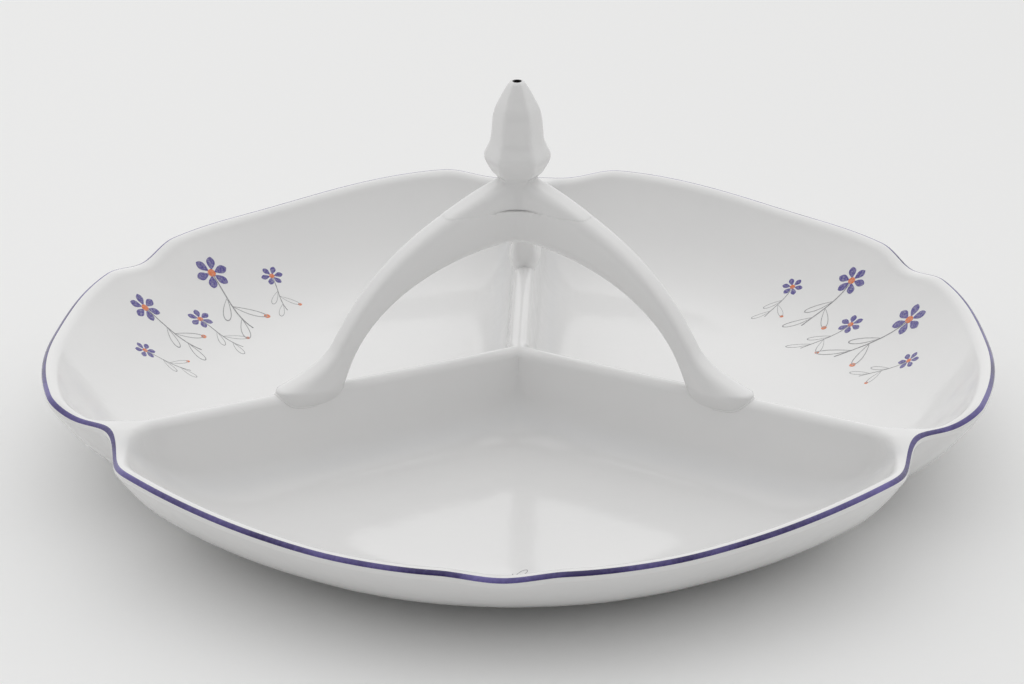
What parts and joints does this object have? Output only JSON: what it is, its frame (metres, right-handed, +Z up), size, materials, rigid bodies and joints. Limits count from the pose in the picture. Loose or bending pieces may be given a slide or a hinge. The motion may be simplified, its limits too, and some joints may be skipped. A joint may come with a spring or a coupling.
{
  "type": "divided serving tray",
  "caption": "Lobed porcelain serving dish with low dividers between its compartments and an arched tripod handle topped by a faceted finial, for relishes, snacks and condiments",
  "frame": {"origin": "on the tray's upright axis, on the surface that its foot ring stands on", "axes": "+Z up along the axis, -Y out through the middle of the front compartment, +X to the right seen from the front"},
  "size_m": [0.2988, 0.2983, 0.122],
  "materials": {
    "porcelain": "white hard porcelain under a clear glossy glaze",
    "enamel": "violet-blue enamel line fired onto the glaze"
  },
  "bodies": {
    "root": {"dish": "porcelain", "rim_line": "enamel", "handle": "porcelain", "foot_lute_1": "porcelain", "foot_lute_2": "porcelain", "foot_lute_3": "porcelain", "finial_lute": "porcelain", "finial": "porcelain"}
  },
  "joints": []
}
